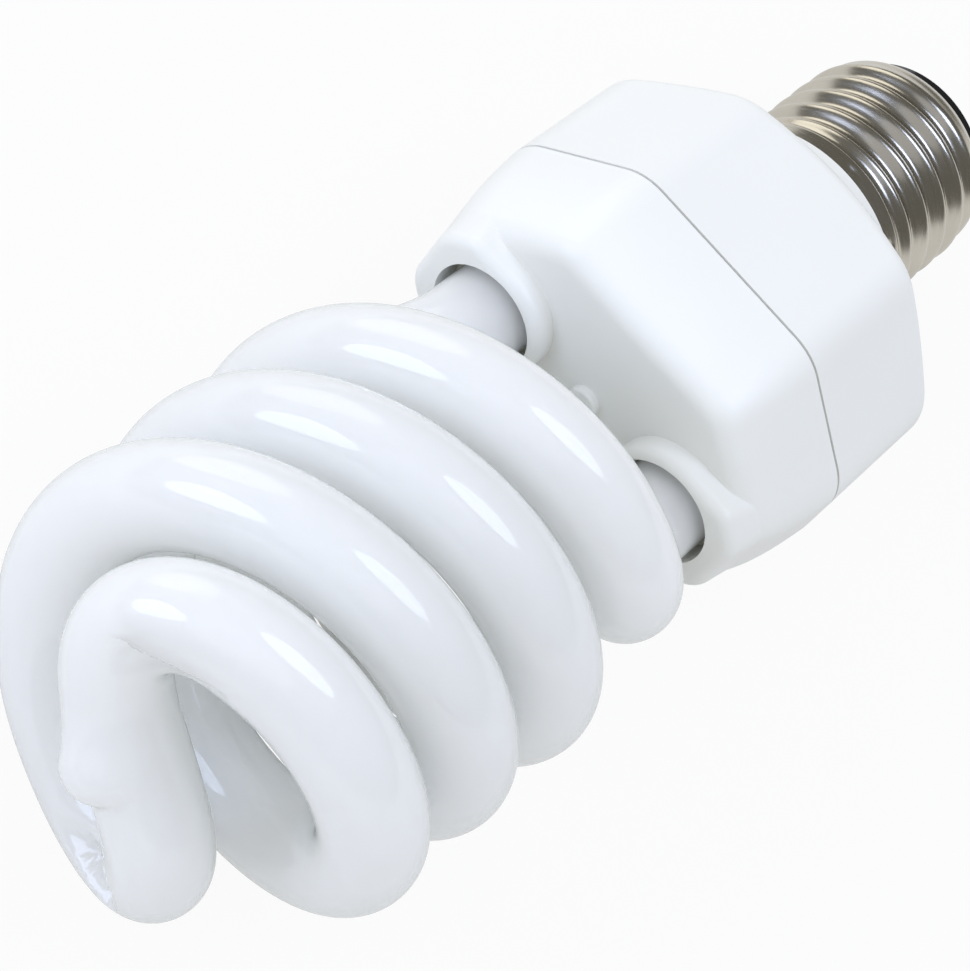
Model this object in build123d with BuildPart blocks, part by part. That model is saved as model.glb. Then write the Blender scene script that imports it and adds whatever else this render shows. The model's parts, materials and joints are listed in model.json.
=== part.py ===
from build123d import *
import os
from math import acos, asin, atan2, cos, hypot, radians, sin, sqrt, tan

os.makedirs("parts", exist_ok=True)

# A spiral compact fluorescent bulb with a 27 mm screw cap, lying on its side as it comes to rest.
# Heights along the lamp are measured from the outer face of the centre contact towards the tip.

# Screw cap
thread_d = 26.2
thread_depth = 1.1
thread_length = 16.96
shell_wall = 0.4
shell_mouth_d = 22.4
shell_mouth = 4.5
nose_round = 2.4
skirt_over = 0.3
skirt_length = 3.9
skirt_step = 0.6
shell_end_gap = 0.2
crimp_rise = 1.8
crimp_count = 8
crimp_ball = 1.1
crimp_depth = 0.22
cap_play = 0.1
insulator_tip_d = 11.6
insulator_rim_d = 21.0
insulator_rim = 2.9
insulator_depth = 1.1
contact_d = 9.6
contact_plate = 0.9
contact_round = 0.4
rivet_d = 3.0
rivet_length = 4.1

# Housing outline: an oblong with four corner facets and rounded corners
housing_half_length = 26.6
housing_half_width = 17.7
facet_angle = 48.0
facet_reach = 22.2
corner_round = 7.0
end_flat = 0.2
wall = 2.0

# Cap-side half of the housing, with its cone end, neck ring and the spigot inside the cap
neck_lip = 1.3
neck_flare = 0.6
neck_height = 7.0
neck_ring = 2.2
groove_width = 0.3
groove_depth = 0.4
cover_height = 18.0
end_draft = 0.35
rim_round = 2.0
spigot_reach = 4.3
spigot_wall = 1.5

# Tube-side half of the housing, with its raised collars and the moulding pip between them
seam_gap = 0.35
tongue = 3.0
tongue_wall = 0.9
joint_play = 0.1
carrier_height = 13.6
belly_rise = 5.5
belly_inset = 0.6
shoulder_drop = 3.3
shoulder_inset = 1.6
face_inset = 2.8
face_round = 3.0
leg_play = 0.95
collar_wall = 1.25
collar_height = 3.1
collar_round = 1.5
land_inset = 2.8
land_root = 2.0
land_corner = 3.0
socket_depth = 4.5
pip_d = 4.0
pip_height = 1.0
pip_round = 0.4
post_d = 3.2
post_x = 4.2
post_y = 9.5

# Glass spiral
tube_d = 11.4
coil_radius = 21.85
coil_pitch = 27.85
coil_rise = 5.6
coil_start_angle = 54.0
coil_end_angle = 605.0
coil_corners = 19
leg_offset = 14.55
leg_clear = 3.4
leg_run = 9.5
leg_swing_radius = 22.1
leg_swing_angle = 17.7
leg_swing_rise = 6.7
arch_radius = 23.3
arch_angle = 644.8
arch_rise = 3.4
bar_half = 14.1
bar_angle = 675.9
bar_rise = 4.1
bend_share = 0.47
nub_d = 8.2
nub_reach = 2.8
nub_round = 2.6
nub_shift = 2.5

# Ballast
board_thickness = 1.6
board_lift = 0.3
board_play = 0.6
lead_d = 0.7
lead_spread = 2.2
cement_play = 0.05
cement_inset = 0.7
hookup_d = 1.0
shell_lead_offset = 9.2
shell_lead_drop = 1.5
shell_lead_bend = 1.2
choke_clear = 4.2
choke_length = 16.0
choke_depth = 5.0
choke_height = 13.0
choke_yoke = 2.8
choke_post = 4.0
choke_side = 2.4
bobbin_play = 0.15
bobbin_wall = 0.6
winding_depth = 11.0
winding_play = 0.05
winding_round = 0.8
mains_cap_clear = 2.6
mains_cap_d = 10.0
mains_cap_height = 16.0
mains_cap_round = 0.8
ring_d = 7.4
ring_bore_d = 4.0
ring_height = 4.4
ring_stand = 0.7
ring_wire = 0.6
ring_play = 0.05
ring_gap = 0.6
ring_span = 60.0
ring_winding_count = 3
film_clear = 1.8
film_gap = 3.3
film_length = 11.6
film_depth = 4.6
film_height = 10.0
film_round = 0.8
transistor_gap = 1.5
transistor_width = 7.8
transistor_depth = 2.8
transistor_height = 10.8
transistor_stand = 2.5
transistor_y = 10.2
pin_pitch = 2.3
pin_width = 0.7
diode_d = 2.6
diode_length = 4.8
diode_clear = 1.2
diode_gap = 0.6
diode_y = 10.4
lying_lift = 0.1
fuse_d = 3.4
fuse_height = 9.0
fuse_round = 0.6
fuse_gap = 1.1
thermistor_d = 5.6
thermistor_depth = 2.2
thermistor_stand = 1.2
thermistor_pitch = 2.5
thermistor_gap = 1.0
component_lead_d = 0.6
resistor_d = 2.0
resistor_length = 5.0
resistor_y = 3.5

# Radii shared between neighbours
tube_r = tube_d / 2
leg_hole_r = tube_r + leg_play
collar_r = leg_hole_r + collar_wall
thread_r = thread_d / 2
thread_inside_r = thread_r - thread_depth - shell_wall
skirt_r = thread_r + skirt_over
skirt_inside_r = skirt_r - shell_wall
neck_r = skirt_r + neck_lip
neck_base_r = neck_r + neck_flare
mouth_r = shell_mouth_d / 2
spigot_r = thread_inside_r - cap_play
bore_r = spigot_r - spigot_wall

# Heights along the lamp
thread_start = shell_mouth + sqrt(nose_round**2 - (mouth_r - thread_r + nose_round) ** 2)
skirt_start = thread_start + thread_length
shell_end = skirt_start + skirt_length - shell_end_gap
neck_end = skirt_start + skirt_length
neck_base = neck_end + neck_ring + groove_width
housing_end = neck_end + neck_height
seam = housing_end + cover_height
cover_mouth = seam - seam_gap / 2
carrier_mouth = seam + seam_gap / 2
tongue_end = seam - tongue
carrier_face = seam + carrier_height
ceiling = carrier_face - wall
socket_end = ceiling - socket_depth
collar_top = carrier_face + collar_height
board_face = seam + board_lift
board_back = board_face + board_thickness
spigot_end = skirt_start - spigot_reach
spigot_shoulder = skirt_start + skirt_step + shell_wall
rivet_end = contact_plate + rivet_length
leg_end = board_back + leg_clear
leg_bend = collar_top + leg_run
coil_base = leg_bend + coil_rise
arch = coil_base + coil_pitch * coil_end_angle / 360 + arch_rise
bar = arch + bar_rise
tip = bar + tube_r + nub_reach

# How it lies: on the end of the cap, on the coil's first pass below the axis and on one housing corner
first_pass = coil_base + coil_pitch / 4
cap_seat_r = thread_r - nose_round
stretch = hypot(coil_radius - cap_seat_r, first_pass - thread_start)
rise = atan2(coil_radius - cap_seat_r, first_pass - thread_start)
rest_tilt = rise + asin((tube_r - nose_round) / stretch)
axis_lift = tube_r + coil_radius * cos(rest_tilt) - first_pass * sin(rest_tilt)
facet = radians(facet_angle)
corner_y = housing_half_width - corner_round
corner_x = (facet_reach - corner_round - corner_y * sin(facet)) / cos(facet)
rim_r = corner_round - end_draft - rim_round
end_slope = (housing_end - neck_base) / (housing_half_length - neck_base_r)
corner_reach = hypot(corner_x, corner_y + rim_r)
rim = neck_base + end_slope * (corner_reach - neck_base_r) + rim_round * hypot(1, end_slope)
corner_drop = (axis_lift - rim_round + rim * sin(rest_tilt)) / cos(rest_tilt) - rim_r
rest_roll = atan2(corner_x, corner_y) - acos(corner_drop / hypot(corner_x, corner_y))
middle = (tip * cos(rest_tilt) - contact_d / 2 * sin(rest_tilt)) / 2
lamp = Plane(
    origin=(-middle, 0, axis_lift),
    x_dir=(-sin(rest_roll) * sin(rest_tilt), cos(rest_roll), sin(rest_roll) * cos(rest_tilt)),
    z_dir=(cos(rest_tilt), 0, sin(rest_tilt)),
)
lamp_axis = Axis(lamp.origin, lamp.z_dir)
axial = Plane(origin=lamp.origin, x_dir=lamp.x_dir, z_dir=-lamp.y_dir)


def across(height, x=0.0, y=0.0):
    """Plane square to the lamp's axis; x runs along the line of the leg holes."""
    return Plane(origin=lamp.from_local_coords(Vector(x, y, height)), x_dir=lamp.x_dir, z_dir=lamp.z_dir)


def around(radius, angle, height):
    """Point at a radius, an angle in degrees and a height on the lamp."""
    turn = radians(angle)
    return Vector(radius * cos(turn), radius * sin(turn), height)


def housing_outline(sketch, inset):
    """Housing outline drawn in by inset, added to the open sketch."""
    length = housing_half_length - inset
    width = housing_half_width - inset
    reach = facet_reach - inset
    side = (reach - length * cos(facet)) / sin(facet)
    flat = (reach - width * sin(facet)) / cos(facet)
    quarter = [(length, side), (flat, width)]
    corners = quarter + [(-x, y) for x, y in reversed(quarter)]
    corners += [(-x, -y) for x, y in corners]
    Polygon(*corners, align=None)
    fillet(sketch.vertices(), min(corner_round - inset, (side - end_flat) / tan(facet / 2)))


def spiral_route():
    """Corners of the tube's centre line from one leg up its strand to the tip bar."""
    step = (coil_end_angle - coil_start_angle) / (coil_corners - 1)
    corner_radius = coil_radius / cos(radians(step / 2))
    corners = [Vector(leg_offset, 0, leg_end), Vector(leg_offset, 0, leg_bend)]
    corners.append(around(leg_swing_radius, leg_swing_angle, leg_bend + leg_swing_rise))
    for number in range(coil_corners):
        angle = coil_start_angle + number * step
        corners.append(around(corner_radius, angle, coil_base + coil_pitch * angle / 360))
    corners.append(around(arch_radius, arch_angle, arch))
    corners.append(around(bar_half, bar_angle, bar))
    return corners


def bend_radii(corners):
    """Radius of the arc at each inner corner, as large as the runs beside it allow."""
    radii = []
    for before, corner, after in zip(corners, corners[1:], corners[2:]):
        turn = radians((corner - before).get_angle(after - corner))
        run = min((corner - before).length, (after - corner).length)
        radii.append(bend_share * run / tan(turn / 2))
    return radii


# White-coated glass tube, sealed at both legs, with the cold-spot nub on its tip bar
strand = spiral_route()
twin = [Vector(-point.X, -point.Y, point.Z) for point in strand]
route_corners = [lamp.from_local_coords(point) for point in strand + twin[::-1]]
with BuildPart() as glass_tube:
    with BuildLine() as route:
        FilletPolyline(*route_corners, radius=bend_radii(route_corners))
    with BuildSketch(Plane(origin=route.line @ 0, x_dir=lamp.x_dir, z_dir=route.line % 0)):
        Circle(tube_r)
    sweep(path=route.line)
    nub_foot = lamp.from_local_coords(around(nub_shift, bar_angle - 180, bar))
    with BuildSketch(Plane(origin=nub_foot, x_dir=lamp.x_dir, z_dir=-lamp.y_dir)):
        with BuildLine():
            side = Polyline((0, 0), (nub_d / 2, 0), (nub_d / 2, tube_r + nub_reach - nub_round))
            crown = RadiusArc(side @ 1, (nub_d / 2 - nub_round, tube_r + nub_reach), -nub_round)
            Polyline(crown @ 1, (0, tube_r + nub_reach), side @ 0)
        make_face()
    revolve(axis=Axis(nub_foot, lamp.z_dir))
glass_tube.part.label = "glass_tube"
export_step(glass_tube.part, "parts/glass_tube.step")

# Tube-side housing: domed shell with two leg collars, board posts and a tongue for the seam
belly = seam + belly_rise
shoulder = carrier_face - shoulder_drop
leg_places = [(leg_offset, 0), (-leg_offset, 0)]
post_places = [(x, y) for x in (-post_x, post_x) for y in (-post_y, post_y)]
dome = [(carrier_mouth, 0), (belly, belly_inset), (shoulder, shoulder_inset), (carrier_face, face_inset)]
hollow = [(carrier_mouth, wall), (belly, belly_inset + wall), (ceiling, face_inset + wall)]
land = [(shoulder - land_root, shoulder_inset), (collar_top, land_inset)]
land_length = housing_half_length - leg_offset
land_outlines = []
for height, inset in land:
    with BuildSketch(across(height)) as land_outline:
        housing_outline(land_outline, inset)
    land_outlines.append((height, land_outline.sketch_local))
with BuildPart() as tube_carrier:
    for height, inset in dome:
        with BuildSketch(across(height)) as section:
            housing_outline(section, inset)
    loft()
    fillet(tube_carrier.faces().sort_by(lamp_axis)[-1].edges(), face_round)
    with BuildSketch(across(carrier_face)):
        Circle(pip_d / 2)
    extrude(amount=pip_height)
    fillet(tube_carrier.faces().sort_by(lamp_axis)[-1].edges(), pip_round)
    for side, outermost in ((-1, 0), (1, -1)):
        for height, outline in land_outlines:
            with BuildSketch(across(height)) as section:
                with Locations((side * leg_offset, 0)):
                    Circle(collar_r)
                with Locations((side * (leg_offset + land_length / 2), 0)):
                    Rectangle(land_length, 2 * collar_r)
                add(outline, mode=Mode.INTERSECT)
                rows = section.vertices().group_by(Axis.Y)
                fillet([row.sort_by(Axis.X)[outermost] for row in (rows[0], rows[-1])], land_corner)
        loft(ruled=True)
    fillet(tube_carrier.faces().sort_by(lamp_axis)[-2:].edges(), collar_round)
    for height, inset in hollow:
        with BuildSketch(across(height)) as section:
            housing_outline(section, inset)
    loft(mode=Mode.SUBTRACT)
    with BuildSketch(across(socket_end)):
        with Locations(*leg_places):
            Circle(collar_r)
    extrude(amount=carrier_face - socket_end)
    with BuildSketch(across(socket_end)):
        with Locations(*leg_places):
            Circle(leg_hole_r)
    extrude(amount=collar_top - socket_end, mode=Mode.SUBTRACT)
    with BuildSketch(across(board_back)):
        with Locations(*post_places):
            Circle(post_d / 2)
    extrude(amount=carrier_face - wall / 2 - board_back)
    with BuildSketch(across(carrier_mouth)) as tongue_outside:
        housing_outline(tongue_outside, wall - tongue_wall)
    extrude(amount=tongue_end - carrier_mouth)
    with BuildSketch(across(carrier_mouth)) as tongue_inside:
        housing_outline(tongue_inside, wall)
    extrude(amount=tongue_end - carrier_mouth, mode=Mode.SUBTRACT)
tube_carrier.part.label = "tube_carrier"
export_step(tube_carrier.part, "parts/tube_carrier.step")

# Cap-side housing: straight-sided shell with a shallow cone end, a neck ring and a spigot for the cap
skirt_spigot_r = skirt_inside_r - cap_play
cone_r = housing_half_length + wall
cone_top = neck_base + end_slope * (cone_r - neck_base_r)
cover = [(cover_mouth, 0), (neck_base, end_draft)]
cover_hollow = [(cover_mouth, wall), (housing_end + wall / 2, wall + end_draft)]
with BuildPart() as ballast_cover:
    for height, inset in cover:
        with BuildSketch(across(height)) as section:
            housing_outline(section, inset)
    loft(ruled=True)
    with BuildSketch(axial):
        with BuildLine():
            Polyline(
                (0, neck_base),
                (neck_base_r, neck_base),
                (cone_r, cone_top),
                (cone_r, cover_mouth),
                (0, cover_mouth),
                close=True,
            )
        make_face()
    revolve(axis=lamp_axis, mode=Mode.INTERSECT)
    cone_edges = ballast_cover.faces().filter_by(GeomType.CONE).sort_by(SortBy.AREA)[-1].edges()
    fillet(cone_edges.sort_by(lamp_axis)[1:], rim_round)
    with BuildSketch(axial):
        with BuildLine():
            Polyline(
                (0, housing_end + wall),
                (neck_r - groove_depth, housing_end + wall),
                (neck_r - groove_depth, neck_base - groove_width),
                (neck_r, neck_base - groove_width),
                (neck_r, neck_end),
                (skirt_spigot_r, neck_end),
                (skirt_spigot_r, spigot_shoulder),
                (spigot_r, spigot_shoulder),
                (spigot_r, spigot_end),
                (0, spigot_end),
                close=True,
            )
        make_face()
    revolve(axis=lamp_axis)
    for height, inset in cover_hollow:
        with BuildSketch(across(height)) as section:
            housing_outline(section, inset)
    loft(ruled=True, mode=Mode.SUBTRACT)
    with BuildSketch(across(cover_mouth)) as rebate:
        housing_outline(rebate, wall - tongue_wall - joint_play)
    extrude(amount=tongue_end - cover_mouth, mode=Mode.SUBTRACT)
    with BuildSketch(across(spigot_end)):
        Circle(bore_r)
    extrude(amount=housing_end + wall - spigot_end, mode=Mode.SUBTRACT)
ballast_cover.part.label = "ballast_cover"
export_step(ballast_cover.part, "parts/ballast_cover.step")

# Screw shell of the cap, its thread zone left as a plain cylinder over the crests
with BuildPart() as screw_shell:
    with BuildSketch(axial):
        with BuildLine():
            nose = RadiusArc((thread_r, thread_start), (mouth_r, shell_mouth), nose_round)
            Polyline(
                nose @ 1,
                (mouth_r - shell_wall, shell_mouth),
                (thread_inside_r, thread_start),
                (thread_inside_r, skirt_start + skirt_step),
                (skirt_inside_r, skirt_start + skirt_step),
                (skirt_inside_r, shell_end),
                (skirt_r, shell_end),
                (skirt_r, skirt_start + skirt_step),
                (thread_r, skirt_start),
                nose @ 0,
            )
        make_face()
    revolve(axis=lamp_axis)
    with Locations(across(skirt_start + crimp_rise)):
        with PolarLocations(skirt_r + crimp_ball - crimp_depth, crimp_count):
            Sphere(crimp_ball, mode=Mode.SUBTRACT)
screw_shell.part.label = "screw_shell"
export_step(screw_shell.part, "parts/screw_shell.step")

# Black insulator moulded into the end of the shell
plug_r = thread_inside_r - cap_play
insulator_inner = thread_start + insulator_depth
with BuildPart() as cap_insulator:
    with BuildSketch(axial):
        with BuildLine():
            Polyline(
                (rivet_d / 2 + cap_play, contact_plate),
                (insulator_tip_d / 2, contact_plate),
                (insulator_rim_d / 2, insulator_rim),
                (mouth_r - shell_wall - cap_play, shell_mouth),
                (plug_r, thread_start),
                (plug_r, insulator_inner),
                (rivet_d / 2 + cap_play, insulator_inner),
                close=True,
            )
        make_face()
    revolve(axis=lamp_axis)
cap_insulator.part.label = "cap_insulator"
export_step(cap_insulator.part, "parts/cap_insulator.step")

# Centre contact: round plate with a rivet through the insulator
with BuildPart() as centre_contact:
    with BuildSketch(across(0)):
        Circle(contact_d / 2)
    extrude(amount=contact_plate)
    fillet(centre_contact.faces().sort_by(lamp_axis)[0].edges(), contact_round)
    with BuildSketch(across(contact_plate)):
        Circle(rivet_d / 2)
    extrude(amount=rivet_end - contact_plate)
centre_contact.part.label = "centre_contact"
export_step(centre_contact.part, "parts/centre_contact.step")

# Circuit board across the housing, just above the seam
with BuildPart() as circuit_board:
    with BuildSketch(across(board_face)) as board_outline:
        housing_outline(board_outline, wall + board_play)
    extrude(amount=board_thickness)
circuit_board.part.label = "circuit_board"
export_step(circuit_board.part, "parts/circuit_board.step")

# Choke: core with two windows, bobbin round its middle post, and the winding on the bobbin
choke_x = -choke_clear - choke_length / 2
choke_window = (choke_length - choke_post) / 2 - choke_side
choke_mid = board_face - choke_height / 2
window_height = choke_height - 2 * choke_yoke
window_x = (choke_post + choke_window) / 2
with BuildPart() as choke_core:
    with BuildSketch(across(choke_mid, choke_x)):
        Rectangle(choke_length, choke_depth)
    extrude(amount=choke_height / 2, both=True)
    with BuildSketch(across(choke_mid, choke_x)):
        with Locations((-window_x, 0), (window_x, 0)):
            Rectangle(choke_window, choke_depth)
    extrude(amount=window_height / 2, both=True, mode=Mode.SUBTRACT)
choke_core.part.label = "choke_core"
export_step(choke_core.part, "parts/choke_core.step")

bobbin_half = window_height / 2 - bobbin_play
bobbin_length = choke_length - 2 * choke_side - 2 * bobbin_play
hub_length = choke_post + 2 * (bobbin_play + bobbin_wall)
hub_depth = choke_depth + 2 * (bobbin_play + bobbin_wall)
with BuildPart() as choke_bobbin:
    with BuildSketch(across(choke_mid, choke_x)):
        Rectangle(bobbin_length, winding_depth)
    extrude(amount=bobbin_half, both=True)
    with BuildSketch(across(choke_mid, choke_x)):
        Rectangle(bobbin_length, winding_depth)
        Rectangle(hub_length, hub_depth, mode=Mode.SUBTRACT)
    extrude(amount=bobbin_half - bobbin_wall, both=True, mode=Mode.SUBTRACT)
    with BuildSketch(across(choke_mid, choke_x)):
        Rectangle(choke_post + 2 * bobbin_play, choke_depth + 2 * bobbin_play)
    extrude(amount=bobbin_half, both=True, mode=Mode.SUBTRACT)
choke_bobbin.part.label = "choke_bobbin"
export_step(choke_bobbin.part, "parts/choke_bobbin.step")

with BuildPart() as choke_winding:
    with BuildSketch(across(choke_mid, choke_x)):
        RectangleRounded(bobbin_length - bobbin_wall, winding_depth - bobbin_wall, winding_round)
        Rectangle(hub_length + 2 * winding_play, hub_depth + 2 * winding_play, mode=Mode.SUBTRACT)
    extrude(amount=bobbin_half - bobbin_wall - winding_play, both=True)
choke_winding.part.label = "choke_winding"
export_step(choke_winding.part, "parts/choke_winding.step")

# Feedback ring with three short windings
mains_cap_x = mains_cap_clear + mains_cap_d / 2
ring_x = housing_half_length - wall - ring_gap - ring_wire - ring_d / 2
ring_back = board_face - ring_stand
ring_front = ring_back - ring_height
ring_foot = across(0, ring_x)
ring_axis = Axis(ring_foot.origin, lamp.z_dir)
ring_mid_r = (ring_d + ring_bore_d) / 4
ring_mid = (ring_back + ring_front) / 2
ring_width = (ring_d - ring_bore_d) / 2
with BuildPart() as ring_core:
    with BuildSketch(across(ring_front, ring_x)):
        Circle(ring_d / 2)
        Circle(ring_bore_d / 2, mode=Mode.SUBTRACT)
    extrude(amount=ring_height)
ring_core.part.label = "ring_core"
export_step(ring_core.part, "parts/ring_core.step")

with BuildPart() as ring_windings:
    for number in range(ring_winding_count):
        turn = radians(number * 360 / ring_winding_count)
        outward = lamp.x_dir * cos(turn) + lamp.y_dir * sin(turn)
        with BuildSketch(Plane(origin=ring_foot.origin, x_dir=outward, z_dir=outward.cross(lamp.z_dir))):
            with Locations((ring_mid_r, ring_mid)):
                Rectangle(ring_width + 2 * ring_wire, ring_height + 2 * ring_wire)
                Rectangle(ring_width + 2 * ring_play, ring_height + 2 * ring_play, mode=Mode.SUBTRACT)
        revolve(axis=ring_axis, revolution_arc=ring_span)
ring_windings.part.label = "ring_windings"
export_step(ring_windings.part, "parts/ring_windings.step")

# Mains capacitor can, reaching down into the housing
with BuildPart() as mains_capacitor:
    with BuildSketch(across(board_face, mains_cap_x)):
        Circle(mains_cap_d / 2)
    extrude(amount=-mains_cap_height)
    fillet(mains_capacitor.faces().sort_by(lamp_axis)[0].edges(), mains_cap_round)
mains_capacitor.part.label = "mains_capacitor"
export_step(mains_capacitor.part, "parts/mains_capacitor.step")

# Two dipped film capacitors beside the choke
film_x = -film_clear - film_length / 2
film_y = (winding_depth + film_depth) / 2 + film_gap
with BuildPart() as film_capacitor_a:
    with BuildSketch(across(board_face, film_x, film_y)):
        RectangleRounded(film_length, film_depth, film_round)
    extrude(amount=-film_height)
    fillet(film_capacitor_a.faces().sort_by(lamp_axis)[0].edges(), film_round / 2)
film_capacitor_a.part.label = "film_capacitor_a"
export_step(film_capacitor_a.part, "parts/film_capacitor_a.step")

with BuildPart() as film_capacitor_b:
    with BuildSketch(across(board_face, film_x, -film_y)):
        RectangleRounded(film_length, film_depth, film_round)
    extrude(amount=-film_height)
    fillet(film_capacitor_b.faces().sort_by(lamp_axis)[0].edges(), film_round / 2)
film_capacitor_b.part.label = "film_capacitor_b"
export_step(film_capacitor_b.part, "parts/film_capacitor_b.step")

# Two switching transistors standing on three leads each
transistor_x = diode_clear + 2 * diode_d + diode_gap + transistor_gap + transistor_width / 2
transistor_back = board_face - transistor_stand
pin_places = [(-pin_pitch, 0), (0, 0), (pin_pitch, 0)]
with BuildPart() as transistor_a:
    with BuildSketch(across(transistor_back, transistor_x, transistor_y)):
        Rectangle(transistor_width, transistor_depth)
    extrude(amount=-transistor_height)
    with BuildSketch(across(transistor_back, transistor_x, transistor_y)):
        with Locations(*pin_places):
            Rectangle(pin_width, pin_width)
    extrude(amount=transistor_stand)
transistor_a.part.label = "transistor_a"
export_step(transistor_a.part, "parts/transistor_a.step")

with BuildPart() as transistor_b:
    with BuildSketch(across(transistor_back, transistor_x, -transistor_y)):
        Rectangle(transistor_width, transistor_depth)
    extrude(amount=-transistor_height)
    with BuildSketch(across(transistor_back, transistor_x, -transistor_y)):
        with Locations(*pin_places):
            Rectangle(pin_width, pin_width)
    extrude(amount=transistor_stand)
transistor_b.part.label = "transistor_b"
export_step(transistor_b.part, "parts/transistor_b.step")

# Four rectifier diodes lying on the board
diode_x = diode_clear + diode_d / 2
diode_step = diode_d + diode_gap
diode_height = board_face - lying_lift - diode_d / 2
diode_places = [(x, y) for x in (diode_x, diode_x + diode_step) for y in (-diode_y, diode_y)]
with BuildPart() as rectifier_diodes:
    for x, y in diode_places:
        middle = lamp.from_local_coords(Vector(x, y, diode_height))
        with BuildSketch(Plane(origin=middle, x_dir=lamp.x_dir, z_dir=lamp.y_dir)):
            Circle(diode_d / 2)
        extrude(amount=diode_length / 2, both=True)
rectifier_diodes.part.label = "rectifier_diodes"
export_step(rectifier_diodes.part, "parts/rectifier_diodes.step")

# Fusible resistor in the mains lead, standing on end
fuse_x = -film_clear - film_length - film_gap / 2 - fuse_d / 2
fuse_y = winding_depth / 2 + fuse_gap + fuse_d / 2
with BuildPart() as fuse_resistor:
    with BuildSketch(across(board_face, fuse_x, fuse_y)):
        Circle(fuse_d / 2)
    extrude(amount=-fuse_height)
    fillet(fuse_resistor.faces().sort_by(lamp_axis)[0].edges(), fuse_round)
fuse_resistor.part.label = "fuse_resistor"
export_step(fuse_resistor.part, "parts/fuse_resistor.step")

# Start thermistor: a disc on edge on two leads
thermistor_x = -film_clear - film_length - thermistor_d / 2 - lying_lift
thermistor_y = -winding_depth / 2 - thermistor_gap - thermistor_depth / 2
thermistor_mid = board_face - thermistor_stand - thermistor_d / 2
thermistor_leads = [(-thermistor_pitch / 2, 0), (thermistor_pitch / 2, 0)]
with BuildPart() as thermistor:
    centre = lamp.from_local_coords(Vector(thermistor_x, thermistor_y, thermistor_mid))
    with BuildSketch(Plane(origin=centre, x_dir=lamp.x_dir, z_dir=lamp.y_dir)):
        Circle(thermistor_d / 2)
    extrude(amount=thermistor_depth / 2, both=True)
    with BuildSketch(across(board_face, thermistor_x, thermistor_y)):
        with Locations(*thermistor_leads):
            Circle(component_lead_d / 2)
    extrude(amount=thermistor_mid - board_face)
thermistor.part.label = "thermistor"
export_step(thermistor.part, "parts/thermistor.step")

# Two bias resistors on the tube side of the board
with BuildPart() as bias_resistors:
    for y in (-resistor_y, resistor_y):
        middle = lamp.from_local_coords(Vector(0, y, board_back + lying_lift + resistor_d / 2))
        with BuildSketch(Plane(origin=middle, x_dir=lamp.y_dir, z_dir=lamp.x_dir)):
            Circle(resistor_d / 2)
        extrude(amount=resistor_length / 2, both=True)
bias_resistors.part.label = "bias_resistors"
export_step(bias_resistors.part, "parts/bias_resistors.step")

# Four filament leads from the sealed legs to the board
lead_places = [(x, y) for x in (-leg_offset, leg_offset) for y in (-lead_spread, lead_spread)]
with BuildPart() as tube_leads:
    with BuildSketch(across(board_back)):
        with Locations(*lead_places):
            Circle(lead_d / 2)
    extrude(amount=leg_end - board_back)
tube_leads.part.label = "tube_leads"
export_step(tube_leads.part, "parts/tube_leads.step")

# Cement that holds the two legs in their collars
cement_end = socket_end + cement_inset
cement_top = carrier_face - cement_inset
with BuildPart() as leg_cement:
    with BuildSketch(across(cement_end)):
        with Locations(*leg_places):
            Circle(leg_hole_r - cement_play)
            Circle(tube_r + cement_play, mode=Mode.SUBTRACT)
    extrude(amount=cement_top - cement_end)
leg_cement.part.label = "leg_cement"
export_step(leg_cement.part, "parts/leg_cement.step")

# Wire from the board to the rivet of the centre contact
with BuildPart() as contact_lead:
    with BuildSketch(across(rivet_end)):
        Circle(hookup_d / 2)
    extrude(amount=board_face - rivet_end)
contact_lead.part.label = "contact_lead"
export_step(contact_lead.part, "parts/contact_lead.step")

# Wire from the board to the wall of the screw shell
shell_lead_end = spigot_end - shell_lead_drop
shell_lead_reach = thread_inside_r - 2 * cap_play
shell_lead_corners = [
    lamp.from_local_coords(Vector(0, -shell_lead_offset, board_face)),
    lamp.from_local_coords(Vector(0, -shell_lead_offset, shell_lead_end)),
    lamp.from_local_coords(Vector(0, -shell_lead_reach, shell_lead_end)),
]
with BuildPart() as shell_lead:
    with BuildLine() as shell_lead_route:
        FilletPolyline(*shell_lead_corners, radius=shell_lead_bend)
    with BuildSketch(across(board_face, 0, -shell_lead_offset)):
        Circle(hookup_d / 2)
    sweep(path=shell_lead_route.line)
shell_lead.part.label = "shell_lead"
export_step(shell_lead.part, "parts/shell_lead.step")
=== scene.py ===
import json
from math import cos, pi, radians, sin, sqrt, tau

import bpy
import numpy as np
from mathutils import Matrix, Vector


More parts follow.
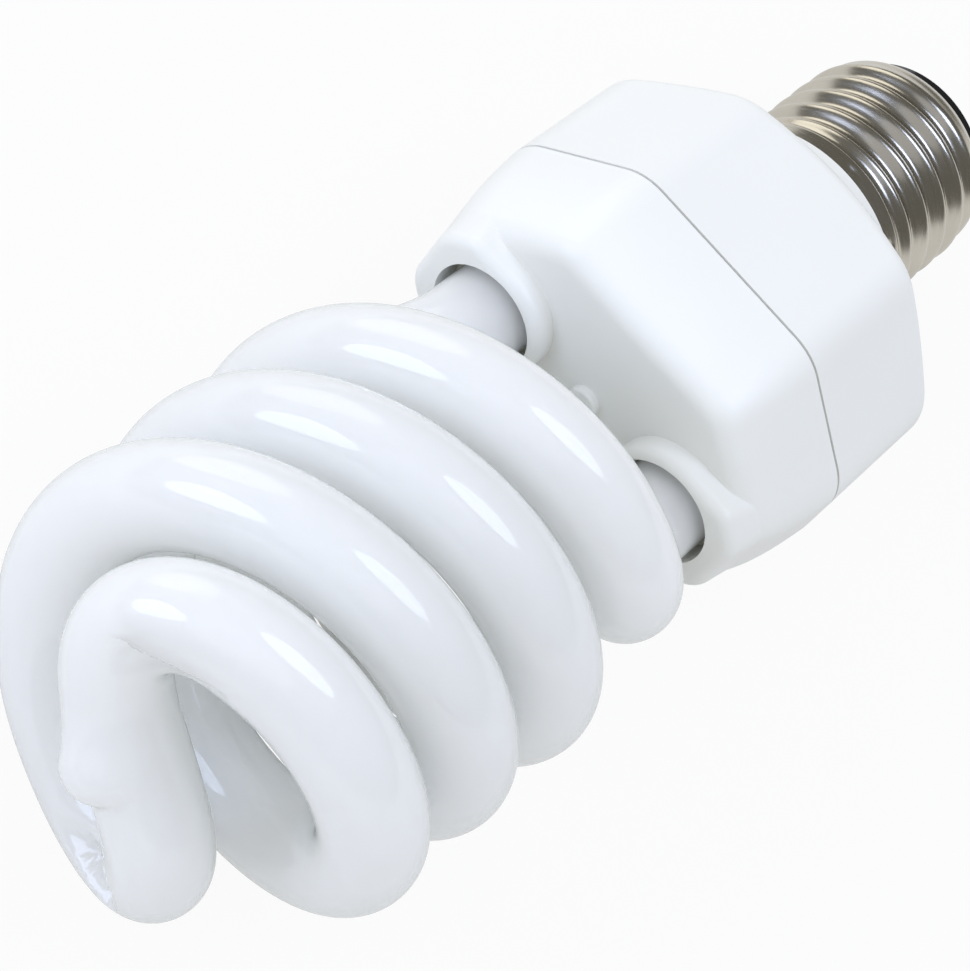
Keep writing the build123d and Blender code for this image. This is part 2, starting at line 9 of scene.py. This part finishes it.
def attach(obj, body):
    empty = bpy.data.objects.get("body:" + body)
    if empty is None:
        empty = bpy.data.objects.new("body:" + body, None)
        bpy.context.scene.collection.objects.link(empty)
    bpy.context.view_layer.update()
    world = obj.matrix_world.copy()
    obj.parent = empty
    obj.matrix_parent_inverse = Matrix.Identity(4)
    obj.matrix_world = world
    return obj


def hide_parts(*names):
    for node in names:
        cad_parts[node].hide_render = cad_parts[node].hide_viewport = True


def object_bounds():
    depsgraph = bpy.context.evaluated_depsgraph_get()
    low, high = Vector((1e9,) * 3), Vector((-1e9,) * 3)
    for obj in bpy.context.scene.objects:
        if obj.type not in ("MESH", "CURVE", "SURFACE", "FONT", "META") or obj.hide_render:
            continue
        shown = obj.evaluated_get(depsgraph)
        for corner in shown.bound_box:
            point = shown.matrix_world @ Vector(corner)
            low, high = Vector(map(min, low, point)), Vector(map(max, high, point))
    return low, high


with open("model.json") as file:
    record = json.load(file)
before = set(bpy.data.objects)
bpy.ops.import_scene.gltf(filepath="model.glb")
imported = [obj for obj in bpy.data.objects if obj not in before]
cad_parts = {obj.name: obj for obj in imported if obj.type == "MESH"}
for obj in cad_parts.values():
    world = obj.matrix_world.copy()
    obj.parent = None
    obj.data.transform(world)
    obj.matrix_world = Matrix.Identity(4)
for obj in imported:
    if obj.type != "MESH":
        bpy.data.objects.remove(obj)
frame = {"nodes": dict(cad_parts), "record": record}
cad_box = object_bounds()

# Where the lamp lies. Sizes below are in millimetres on the lamp itself: x along the line of the two
# leg holes, y out of the broad side that faces the camera, z from the centre contact to the tip.
REST_ROLL = radians(1.962982)
contact = next(mount for mount in frame["record"]["mounts"] if mount["name"] == "centre_contact")
tipwards = -Vector(contact["axis"])
skywards = tipwards.cross(Vector((0, 1, 0)))
hole_line = cos(REST_ROLL) * Vector((0, 1, 0)) + sin(REST_ROLL) * skywards
turned = Matrix((hole_line, tipwards.cross(hole_line), tipwards)).transposed()
lamp = Matrix.LocRotScale(Vector(contact["pos_m"]), turned.to_quaternion(), Vector((0.001,) * 3))

# Screw cap
THREAD_R = 13.1
THREAD_DEPTH = 1.1
THREAD_PITCH = 3.629
THREAD_START = 6.85
THREAD_PHASE = 0.106
THREAD_FADE_IN = (-1.0, 2.4)
THREAD_FADE_OUT = (2.4, 0.2)
NOSE_ROUND = 2.4
MOUTH = 4.5
SKIRT_R = 13.4
SKIRT_START = 23.81
SKIRT_STEP = 0.6
SKIRT_BLEND = 0.5
SHELL_END = 27.51
SHELL_WALL = 0.4
CRIMPS = 8
CRIMP_HEIGHT = 25.61
CRIMP_SIZE = 0.75
CRIMP_DEPTH = 0.22
SHELL_SIDES = 160
NOSE_ROWS = 24
NOSE_CROWD = 1.5
THREAD_ROW = 0.18
SKIRT_ROW = 0.12

# Glass spiral
TUBE_R = 5.7
TUBE_STEP = 0.6
TUBE_SIDES = 72
DOME_REACHES = (0.999, 0.97, 0.9, 0.8, 0.65, 0.45, 0.22)
LEG_OFFSET = 14.55
LEG_END = 58.01
LEG_BEND = 72.09
LEG_PULL = 12.73
COIL_PULL_IN = 16.63
COIL_R = 21.78
COIL_PITCH = 27.85
COIL_BASE = 84.51
COIL_FROM = 53.6
COIL_TO = 606.8
COIL_STEP = 0.5
COIL_PULL_NEAR = 15.2
COIL_PULL_FAR = 15.6
BAR_PULL_NEAR = 18.4
BAR_PULL_FAR = 16.2
BAR_HALF = 4.29
BAR_ANGLE = radians(675.9)
BAR_HEIGHT = 138.67
FOLD_FOOT = (-1.87, 20.29)
FOLD_WAY = (-0.971, -0.239)
FOLD_DEPTH = 3.8
FOLD_REACH = 2.8
FOLD_START = (-6, 5)
FOLD_STOP = (5.5, 7.5)
FOLD_EDGE = (-0.3, 0.4)
FOLD_UNDER = 1.5
FOLD_OVER = 1
NUB_SHIFT = 2.5
NUB_LEAN = 6.0
NUB_R = 4.1
NUB_TOP = 8.5
NUB_BLEND = 1.6
NUB_ZONE = 2.4 * NUB_R

# Stage, in metres but for the places and directions on the lamp
FLOOR_REACH = 3.0
WHITE_SEEN = 0.92
WHITE_MIRRORED = 0.5
LIGHT_DISTANCE = 0.9
LIGHT_OVERLAP = 0.95
LIT_HEIGHT = 110
LENS = 133.43
CAMERA_PLACE = (30.1, 313.0, 312.4)
CAMERA_RIGHT = (0.6681, 0.3958, -0.6302)
CAMERA_BACK = (0.0765, 0.8059, 0.5871)


def linear(hex_colour):
    """sRGB hex colour as the linear colour that the shaders take."""
    parts = [int(hex_colour[i : i + 2], 16) / 255 for i in (1, 3, 5)]
    return [v / 12.92 if v <= 0.04045 else ((v + 0.055) / 1.055) ** 2.4 for v in parts] + [1.0]


def add(tree, kind, feeds, **settings):
    """Adds one node with its settings, and sets or links the sockets that feeds names."""
    made = tree.nodes.new("ShaderNode" + kind)
    for name, value in settings.items():
        setattr(made, name, value)
    for name, value in feeds.items():
        if isinstance(value, bpy.types.NodeSocket):
            tree.links.new(value, made.inputs[name])
        else:
            made.inputs[name].default_value = value
    return made


def bare_material(name):
    """Empty material of that name, with its node tree."""
    made = bpy.data.materials.new(name)
    made.use_nodes = True
    made.node_tree.nodes.clear()
    return made, made.node_tree


def phosphor_coated_glass():
    """Drawn soda-lime tube, white powder slurried onto its inside: clear gloss over soft white."""
    made, tree = bare_material("phosphor_coated_glass")
    place = add(tree, "TexCoord", {}).outputs["Object"]
    # Powder lies in clouds about 9 mm wide, and the drawn wall waves over about 14 mm.
    clouds = add(
        tree,
        "TexNoise",
        {"Vector": place, "Scale": 1 / 0.009, "Detail": 3.0, "Roughness": 0.6},
    )
    powder = add(
        tree,
        "Mix",
        {0: clouds.outputs[0], 6: linear("#F2F5F2"), 7: linear("#F8FAF7")},
        data_type="RGBA",
    )
    # Painted shade: towards grazing angles the powder colour is mixed to grey-green, which darkens the
    # tube's outlines and the gaps between its passes.
    edge = add(tree, "LayerWeight", {"Blend": 0.35})
    painted_rim_shade = add(tree, "MapRange", {0: edge.outputs["Facing"], 1: 0.5, 2: 0.95, 3: 0.0, 4: 0.75})
    seen = add(
        tree,
        "Mix",
        {0: painted_rim_shade.outputs[0], 6: powder.outputs[2], 7: linear("#7C8377")},
        data_type="RGBA",
    )
    waves = add(tree, "TexNoise", {"Vector": place, "Scale": 1 / 0.014, "Detail": 1.0})
    wall = add(tree, "Bump", {"Height": waves.outputs[0], "Strength": 0.25, "Distance": 0.0004})
    body = add(
        tree,
        "BsdfPrincipled",
        {
            "Base Color": seen.outputs[2],
            "Subsurface Weight": 1.0,
            "Subsurface Scale": 0.03,
            "Subsurface Radius": (1.0, 1.0, 1.0),
            "Roughness": 0.55,
            "IOR": 1.5,
            "Specular IOR Level": 0.2,
            "Coat Weight": 1.0,
            "Coat Roughness": 0.03,
            "Coat IOR": 1.51,
            "Coat Normal": wall.outputs[0],
        },
    )
    add(tree, "OutputMaterial", {"Surface": body.outputs[0]})
    return made


def moulded_white_pbt():
    """White PBT moulded in a spark-eroded tool: satin skin with a fine even grain."""
    made, tree = bare_material("moulded_white_pbt")
    place = add(tree, "TexCoord", {}).outputs["Object"]
    # The grain is about 0.15 mm; it is drawn at 0.4 mm so that it shows.
    grain = add(tree, "TexNoise", {"Vector": place, "Scale": 1 / 0.0004, "Detail": 2.0})
    skin = add(tree, "Bump", {"Height": grain.outputs[0], "Strength": 0.12, "Distance": 0.00005})
    flow = add(tree, "TexNoise", {"Vector": place, "Scale": 1 / 0.02, "Detail": 2.0})
    tint = add(
        tree,
        "Mix",
        {0: flow.outputs[0], 6: linear("#EFEFEB"), 7: linear("#F5F5F1")},
        data_type="RGBA",
    )
    gloss = add(tree, "MapRange", {0: grain.outputs[0], 1: 0.3, 2: 0.7, 3: 0.36, 4: 0.46})
    body = add(
        tree,
        "BsdfPrincipled",
        {
            "Base Color": tint.outputs[2],
            "Roughness": gloss.outputs[0],
            "IOR": 1.55,
            "Normal": skin.outputs[0],
        },
    )
    add(tree, "OutputMaterial", {"Surface": body.outputs[0]})
    return made


def nickel_plated_brass():
    """Brass strip drawn, thread-rolled and nickel plated: warm grey mirror with fine marks round it."""
    made, tree = bare_material("nickel_plated_brass")
    place = add(tree, "TexCoord", {}).outputs["UV"]
    # Rolling marks run round the shell, about 0.2 mm apart and a few millimetres long.
    stretch = add(tree, "Mapping", {"Vector": place, "Scale": (26.0, 125.0, 1.0)})
    marks = add(tree, "TexNoise", {"Vector": stretch.outputs[0], "Scale": 1.0, "Detail": 3.0})
    skin = add(tree, "Bump", {"Height": marks.outputs[0], "Strength": 0.08, "Distance": 0.00006})
    gloss = add(tree, "MapRange", {0: marks.outputs[0], 1: 0.3, 2: 0.7, 3: 0.2, 4: 0.28})
    dull = add(tree, "TexNoise", {"Vector": place, "Scale": 9.0, "Detail": 4.0})
    tint = add(
        tree,
        "Mix",
        {0: dull.outputs[0], 6: linear("#C4BEB1"), 7: linear("#DAD4C7")},
        data_type="RGBA",
    )
    body = add(
        tree,
        "BsdfPrincipled",
        {
            "Base Color": tint.outputs[2],
            "Metallic": 1.0,
            "Roughness": gloss.outputs[0],
            "Normal": skin.outputs[0],
        },
    )
    add(tree, "OutputMaterial", {"Surface": body.outputs[0]})
    return made


def inner_material(name, low, high, grain_mm, roughness, bump_mm, **more):
    """Two close tones in grains of a given size, with a matching bump, for the pieces inside."""
    made, tree = bare_material(name)
    place = add(tree, "TexCoord", {}).outputs["Object"]
    grain = add(tree, "TexNoise", {"Vector": place, "Scale": 1000 / grain_mm, "Detail": 3.0})
    tint = add(tree, "Mix", {0: grain.outputs[0], 6: linear(low), 7: linear(high)}, data_type="RGBA")
    skin = add(tree, "Bump", {"Height": grain.outputs[0], "Strength": 0.3, "Distance": bump_mm / 1000})
    body = add(
        tree,
        "BsdfPrincipled",
        {"Base Color": tint.outputs[2], "Roughness": roughness, "Normal": skin.outputs[0], **more},
    )
    add(tree, "OutputMaterial", {"Surface": body.outputs[0]})
    return made


def even_points(points, step):
    """The same line with its points about a step apart."""
    points = np.array(points)
    along = np.concatenate([[0], np.cumsum(np.linalg.norm(np.diff(points, axis=0), axis=1))])
    count = round(along[-1] / step) + 1
    places = np.linspace(0, along[-1], count)
    return np.stack([np.interp(places, along, points[:, axis]) for axis in range(3)], axis=1)


def ease(value, start, end):
    """Smooth step from 0 at start to 1 at end."""
    share = np.clip((value - start) / (end - start), 0, 1)
    return share * share * (3 - 2 * share)


def bend(start, pull_a, pull_b, end):
    """Smooth bend between two runs, pulled along each of them."""
    t = np.linspace(0, 1, 400)[:, None]
    return (
        (1 - t) ** 3 * start
        + 3 * (1 - t) ** 2 * t * pull_a
        + 3 * (1 - t) * t**2 * pull_b
        + t**3 * end
    )


def coil_point(degrees):
    """Point of the coil and its direction at an angle."""
    turn = radians(degrees)
    rise = COIL_PITCH / tau
    point = np.array([COIL_R * cos(turn), COIL_R * sin(turn), COIL_BASE + rise * turn])
    heading = np.array([-COIL_R * sin(turn), COIL_R * cos(turn), rise])
    return point, heading / np.linalg.norm(heading)


def half_line(coil_pull, bar_pull):
    """Centre line of one half of the tube: leg, coil and the bend into the tip bar."""
    axis = np.array([0.0, 0.0, 1.0])
    leg_top = np.array([LEG_OFFSET, 0, LEG_BEND])
    coil_in, heading_in = coil_point(COIL_FROM)
    coil_out, heading_out = coil_point(COIL_TO)
    bar = np.array([cos(BAR_ANGLE), sin(BAR_ANGLE), 0.0])
    bar_end = bar * BAR_HALF + axis * BAR_HEIGHT
    return np.concatenate(
        [
            [[LEG_OFFSET, 0, LEG_END + TUBE_R]],
            bend(leg_top, leg_top + axis * LEG_PULL, coil_in - heading_in * COIL_PULL_IN, coil_in),
            [coil_point(angle)[0] for angle in np.arange(COIL_FROM + COIL_STEP, COIL_TO, COIL_STEP)],
            bend(coil_out, coil_out + heading_out * coil_pull, bar_end + bar * bar_pull, bar_end),
        ]
    )


def spiral_line():
    """Centre line of the whole tube: the far half, and the near half a half turn round."""
    far = half_line(COIL_PULL_FAR, BAR_PULL_FAR)
    near = half_line(COIL_PULL_NEAR, BAR_PULL_NEAR)[::-1] * [-1, -1, 1]
    return even_points(np.concatenate([far, near]), TUBE_STEP)


def fold_bends(points):
    """Presses in the step that each tight bend leaves in the wall, between its arch and the tip bar."""
    way = np.array(FOLD_WAY)
    to_bar = np.array([-way[1], way[0]])
    for half in (1, -1):
        beside = half * points[:, :2] - FOLD_FOOT
        run, off = beside @ way, beside @ to_bar
        depth = FOLD_DEPTH * ease(run, *FOLD_START) * (1 - ease(run, *FOLD_STOP))
        depth *= ease(off, *FOLD_EDGE) * np.exp(-((off / FOLD_REACH) ** 2))
        upper = ease(points[:, 2], BAR_HEIGHT - FOLD_UNDER, BAR_HEIGHT + FOLD_OVER)
        points[:, 2] -= depth * upper


def raise_nub(points, line):
    """Swells the tip bar into the cold-spot nub, blended softly into the tube."""
    back = np.array([-cos(BAR_ANGLE), -sin(BAR_ANGLE), 0.0])
    foot = back * NUB_SHIFT + [0, 0, BAR_HEIGHT]
    root = foot + back * NUB_LEAN
    lean = foot + [0, 0, NUB_TOP - NUB_R] - root
    aside = points - foot
    near = (np.hypot(aside[:, 0], aside[:, 1]) < NUB_ZONE) & (aside[:, 2] > 0)
    bar = line[np.linalg.norm(line - foot, axis=1) < 4 * TUBE_R]

    def outside(places):
        tube = np.min(np.linalg.norm(places[:, None] - bar[None], axis=2), axis=1) - TUBE_R
        up = np.clip((places - root) @ lean / lean.dot(lean), 0, 1)
        nub = np.linalg.norm(places - root - up[:, None] * lean, axis=1) - NUB_R
        mix = np.clip(0.5 + (nub - tube) / (2 * NUB_BLEND), 0, 1)
        return nub * (1 - mix) + tube * mix - NUB_BLEND * mix * (1 - mix)

    rays = points[near] - foot
    low = np.ones(len(rays))
    high = np.full(len(rays), 2.0)
    for _ in range(30):
        middle = (low + high) / 2
        inside = outside(foot + rays * middle[:, None]) < 0
        low = np.where(inside, middle, low)
        high = np.where(inside, high, middle)
    points[near] = foot + rays * low[:, None]


def new_piece(name, points, faces, material):
    """Mesh piece from points on the lamp, shaded smooth, riding on the lamp."""
    mesh = bpy.data.meshes.new(name)
    mesh.from_pydata([lamp @ Vector(point) for point in points], [], faces)
    mesh.materials.append(material)
    mesh.shade_smooth()
    piece = bpy.data.objects.new(name, mesh)
    bpy.context.scene.collection.objects.link(piece)
    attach(piece, "root")
    return piece


def ring_faces(rows, sides):
    """Quads between rows of points that each go once round."""
    faces = []
    for first in range(0, (rows - 1) * sides, sides):
        for side in range(sides):
            here, there = first + side, first + (side + 1) % sides
            faces.append((here, there, there + sides, here + sides))
    return faces


def coiled_tube(material):
    """The sealed glass spiral, rings of points along its centre line with domed ends."""
    line = spiral_line()
    heading = np.gradient(line, axis=0)
    heading /= np.linalg.norm(heading, axis=1)[:, None]
    turns = np.linspace(0, tau, TUBE_SIDES, endpoint=False)
    across = np.array([1.0, 0.0, 0.0])
    rows = []
    for point, ahead in zip(line, heading):
        across = across - ahead * across.dot(ahead)
        across /= np.linalg.norm(across)
        side = np.cross(ahead, across)
        ring = np.cos(turns)[:, None] * across + np.sin(turns)[:, None] * side
        rows.append(point + TUBE_R * ring)
    first, last = [], []
    for reach in DOME_REACHES:
        width = sqrt(1 - reach**2)
        first.append(line[0] + (rows[0] - line[0]) * width - heading[0] * TUBE_R * reach)
        last.append(line[-1] + (rows[-1] - line[-1]) * width + heading[-1] * TUBE_R * reach)
    points = np.concatenate(first + rows + last[::-1])
    fold_bends(points)
    raise_nub(points, line)
    faces = ring_faces(len(points) // TUBE_SIDES, TUBE_SIDES)
    faces.append(tuple(range(TUBE_SIDES))[::-1])
    faces.append(tuple(range(len(points) - TUBE_SIDES, len(points))))
    piece = new_piece("coiled_tube", points, faces, material)
    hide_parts("glass_tube")


def threaded_shell(material):
    """The screw shell with its rolled thread, plain skirt and the crimps that hold it on the neck."""
    sides = SHELL_SIDES
    turns = np.linspace(0, tau, sides, endpoint=False)
    nose = np.linspace(0, 1, NOSE_ROWS, endpoint=False) ** NOSE_CROWD
    heights = np.concatenate(
        [
            MOUTH + (THREAD_START - MOUTH) * nose,
            np.arange(THREAD_START, SKIRT_START, THREAD_ROW),
            np.arange(SKIRT_START, SHELL_END, SKIRT_ROW),
            [SHELL_END],
        ]
    )
    drop = np.clip(THREAD_START - heights, 0, None)
    base = THREAD_R - THREAD_DEPTH / 2 - NOSE_ROUND + np.sqrt(NOSE_ROUND**2 - drop**2)
    flare = ease(heights, SKIRT_START - SKIRT_BLEND, SKIRT_START + SKIRT_STEP)
    base += (SKIRT_R - THREAD_R + THREAD_DEPTH / 2) * flare
    fade_in, fade_out = THREAD_FADE_IN, THREAD_FADE_OUT
    thread = ease(heights, THREAD_START + fade_in[0], THREAD_START + fade_in[1])
    thread *= 1 - ease(heights, SKIRT_START - fade_out[0], SKIRT_START - fade_out[1])
    phase = (heights[:, None] - THREAD_START) / THREAD_PITCH - turns[None] / tau + THREAD_PHASE
    radius = base[:, None] + THREAD_DEPTH / 2 * thread[:, None] * np.cos(tau * phase)
    for number in range(CRIMPS):
        gap = (turns - number * tau / CRIMPS + pi) % tau - pi
        away = np.hypot(gap[None] * SKIRT_R, heights[:, None] - CRIMP_HEIGHT)
        radius -= CRIMP_DEPTH * np.clip(1 - (away / CRIMP_SIZE) ** 2, 0, 1)
    levels = np.repeat(heights[:, None], sides, 1)
    outer = np.stack([radius * np.cos(turns), radius * np.sin(turns), levels], axis=2)
    thin = radius - SHELL_WALL
    inner = np.stack([thin * np.cos(turns), thin * np.sin(turns), levels], axis=2)
    rows = np.concatenate([outer, inner[::-1]])
    faces = ring_faces(len(rows) + 1, sides)
    total = len(rows) * sides
    faces = [tuple(corner % total for corner in face) for face in faces]
    piece = new_piece("threaded_shell", rows.reshape(-1, 3), faces, material)
    layer = piece.data.uv_layers.new(name="round_and_along")
    for loop in piece.data.loops:
        row, side = divmod(loop.vertex_index, sides)
        layer.data[loop.index].uv = (side / sides, rows[row, side, 2] / SHELL_END)
    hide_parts("screw_shell")


glass = phosphor_coated_glass()
white_pbt = moulded_white_pbt()
nickel = nickel_plated_brass()
# Pressed hot into the shell: deep black gloss, with faint ripples about 1.5 mm wide.
black_glass = inner_material("black_cap_glass", "#0C0C0D", "#1A1A1C", 1.5, 0.15, 0.02, IOR=1.55)
# Stamped and dipped in tin: a soft warm silver, uneven over about 1.2 mm.
tinned_brass = inner_material("tinned_brass", "#B5AC96", "#CBC3AF", 1.2, 0.3, 0.05, Metallic=1.0)
# Sheets of paper pressed in resin: dull tan, clouded by fibres about 0.8 mm long.
laminate = inner_material("paper_phenolic_laminate", "#8C6934", "#9E7940", 0.8, 0.5, 0.02, IOR=1.55)
# Powder pressed and fired: flat near-black, with pores about 0.3 mm apart.
ferrite = inner_material("sintered_ferrite", "#19191B", "#262628", 0.3, 0.55, 0.03, IOR=2.0)
# Drawn wire under clear enamel, laid turn by turn: shiny orange-brown, ridged at the wire's 0.3 mm.
copper = inner_material("enamelled_copper_wire", "#A9511F", "#C4693A", 0.3, 0.25, 0.05, Metallic=1.0)
# Moulded undyed in a polished tool: waxy cream with a low shine, clouded over about 0.4 mm.
nylon = inner_material("natural_nylon", "#D3C9A9", "#E0D7BC", 0.4, 0.4, 0.02, IOR=1.53)
# Film shrunk on with heat: tight glossy blue-black, puckered over about 2 mm.
can_sleeve = inner_material("shrunk_pvc_film", "#0E111A", "#171B27", 2.0, 0.3, 0.03, IOR=1.54)
# Dipped and baked: a thick brick-red gloss with a skin that sags over about 1 mm.
dipped = inner_material("dipped_epoxy", "#6F1D0D", "#852916", 1.0, 0.25, 0.06, IOR=1.55)
# Moulded in a blasted tool: matt black, as fine as the 0.3 mm blasting.
moulded_epoxy = inner_material("moulded_epoxy", "#0C0C0D", "#161617", 0.3, 0.5, 0.02, IOR=1.55)
# Rolled in lacquer and dried: an even satin tan that wavers over about 0.6 mm.
lacquer = inner_material("tan_lacquer", "#AA9063", "#BDA477", 0.6, 0.4, 0.03, IOR=1.5)
# The same on the dipped disc, in deep blue.
disc_lacquer = inner_material("blue_lacquer", "#1B3268", "#27427F", 0.6, 0.4, 0.03, IOR=1.5)
# Paste set hard round the legs: chalky off-white, rough over about 0.5 mm.
cement = inner_material("ceramic_cement", "#D4CFC1", "#E2DED2", 0.5, 0.8, 0.06, IOR=1.5)
# Drawn copper run through molten tin: bright grey, streaked over about 0.5 mm.
tinned_wire = inner_material("tinned_copper_wire", "#AFACA6", "#C3C0BB", 0.5, 0.3, 0.02, Metallic=1.0)
# Extruded over the wire: smooth pale grey with a soft shine, wavering over about 0.6 mm.
wire_cover = inner_material("extruded_pvc", "#C5C2B7", "#D3D0C7", 0.6, 0.45, 0.02, IOR=1.54)

node_finishes = {
    "glass_tube": glass,
    "tube_carrier": white_pbt,
    "ballast_cover": white_pbt,
    "screw_shell": nickel,
    "cap_insulator": black_glass,
    "centre_contact": tinned_brass,
    "circuit_board": laminate,
    "choke_core": ferrite,
    "choke_bobbin": nylon,
    "choke_winding": copper,
    "ring_core": ferrite,
    "ring_windings": copper,
    "mains_capacitor": can_sleeve,
    "film_capacitor_a": dipped,
    "film_capacitor_b": dipped,
    "transistor_a": moulded_epoxy,
    "transistor_b": moulded_epoxy,
    "rectifier_diodes": moulded_epoxy,
    "fuse_resistor": lacquer,
    "thermistor": disc_lacquer,
    "bias_resistors": lacquer,
    "tube_leads": tinned_wire,
    "leg_cement": cement,
    "contact_lead": wire_cover,
    "shell_lead": wire_cover,
}
for name, finish in node_finishes.items():
    mesh = frame["nodes"][name].data
    mesh.materials.clear()
    mesh.materials.append(finish)

coiled_tube(glass)
threaded_shell(nickel)

# Pale floor: camera, gloss and glass see a white sweep with the lamp's own soft shadow on it.
floor_paint, tree = bare_material("pale_floor_paint")
rays = add(tree, "LightPath", {})
direct = rays.outputs["Is Camera Ray"]
gloss = rays.outputs["Is Glossy Ray"]
through = rays.outputs["Is Transmission Ray"]
seen = add(tree, "Math", {0: direct, 1: WHITE_SEEN}, operation="MULTIPLY")
mirrored = add(tree, "Math", {0: gloss, 1: through}, operation="MAXIMUM")
mirrored = add(tree, "Math", {0: mirrored.outputs[0], 1: WHITE_MIRRORED}, operation="MULTIPLY")
share = add(tree, "Math", {0: seen.outputs[0], 1: mirrored.outputs[0]}, operation="MAXIMUM")
matt = add(tree, "BsdfDiffuse", {"Color": linear("#DAD9D6")})
white = add(tree, "Emission", {"Color": linear("#FFFFFF"), "Strength": 1.0})
both = add(tree, "MixShader", {0: share.outputs[0], 1: matt.outputs[0], 2: white.outputs[0]})
add(tree, "OutputMaterial", {"Surface": both.outputs[0]})
floor_mesh = bpy.data.meshes.new("floor")
low = cad_box[0].z
corners = [(x * FLOOR_REACH, y * FLOOR_REACH, low) for x, y in ((-1, -1), (1, -1), (1, 1), (-1, 1))]
floor_mesh.from_pydata(corners, [], [(0, 1, 2, 3)])
floor_mesh.materials.append(floor_paint)
floor = bpy.data.objects.new("floor", floor_mesh)
bpy.context.scene.collection.objects.link(floor)

# Even fill from a studio that shows dimmer in mirrors than it lights, which gives the nickel its dark
# bands. Two oval soft boxes streak the glass, a weak one fills from the camera's side, and the cap
# mirrors a side panel.
world = bpy.data.worlds.new("studio")
world.use_nodes = True
world.node_tree.nodes.clear()
fill = add(world.node_tree, "Background", {"Color": linear("#FDFDF9"), "Strength": 0.64})
dim_room = add(world.node_tree, "Background", {"Color": linear("#F2F0E8"), "Strength": 0.17})
rays = add(world.node_tree, "LightPath", {})
room = add(
    world.node_tree,
    "MixShader",
    {0: rays.outputs["Is Glossy Ray"], 1: fill.outputs[0], 2: dim_room.outputs[0]},
)
add(world.node_tree, "OutputWorld", {"Surface": room.outputs[0]})
bpy.context.scene.world = world
spiral_middle = lamp @ Vector((0, 0, LIT_HEIGHT))
for name, first_end, last_end, width, power, colour in (
    ("soft_box_low", (-0.81, 0.19, 0.55), (-0.31, 0.59, 0.74), 0.42, 2.8, "#CCDBFF"),
    ("soft_box_high", (-0.01, 1.00, -0.03), (0.59, 0.78, -0.21), 0.42, 2.8, "#CCDBFF"),
    ("soft_box_front", (-0.35, 0.62, 0.70), (0.50, 0.75, 0.43), 0.9, 0.8, "#F3F6FF"),
    ("side_panel", (-0.97, 0.10, -0.20), (-0.55, 0.80, -0.25), 0.6, 1.5, "#FFFDF6"),
):
    box = bpy.data.lights.new(name, "AREA")
    box.shape = "ELLIPSE"
    first_way, last_way = turned @ Vector(first_end), turned @ Vector(last_end)
    box.size = LIGHT_OVERLAP * (last_way - first_way).length
    box.size_y = width
    box.energy = power
    box.color = linear(colour)[:3]
    lit = bpy.data.objects.new(name, box)
    facing = (first_way + last_way).normalized()
    long_way = (last_way - first_way).normalized()
    spread = Matrix((long_way, facing.cross(long_way), facing)).transposed().to_quaternion()
    lit.matrix_world = Matrix.LocRotScale(spiral_middle + LIGHT_DISTANCE * facing, spread, None)
    bpy.context.scene.collection.objects.link(lit)

# Camera over the tip, as the photograph was taken, for a frame of 970 by 971.
camera = bpy.data.cameras.new("camera")
camera.sensor_fit = "HORIZONTAL"
camera.sensor_width = 36.0
camera.lens = LENS
right = turned @ Vector(CAMERA_RIGHT)
back = turned @ Vector(CAMERA_BACK)
aim = Matrix((right, back.cross(right), back)).transposed().to_quaternion()
eye = bpy.data.objects.new("camera", camera)
eye.matrix_world = Matrix.LocRotScale(lamp @ Vector(CAMERA_PLACE), aim, None)
bpy.context.scene.collection.objects.link(eye)
bpy.context.scene.camera = eye

bpy.context.scene.view_settings.view_transform = "Standard"
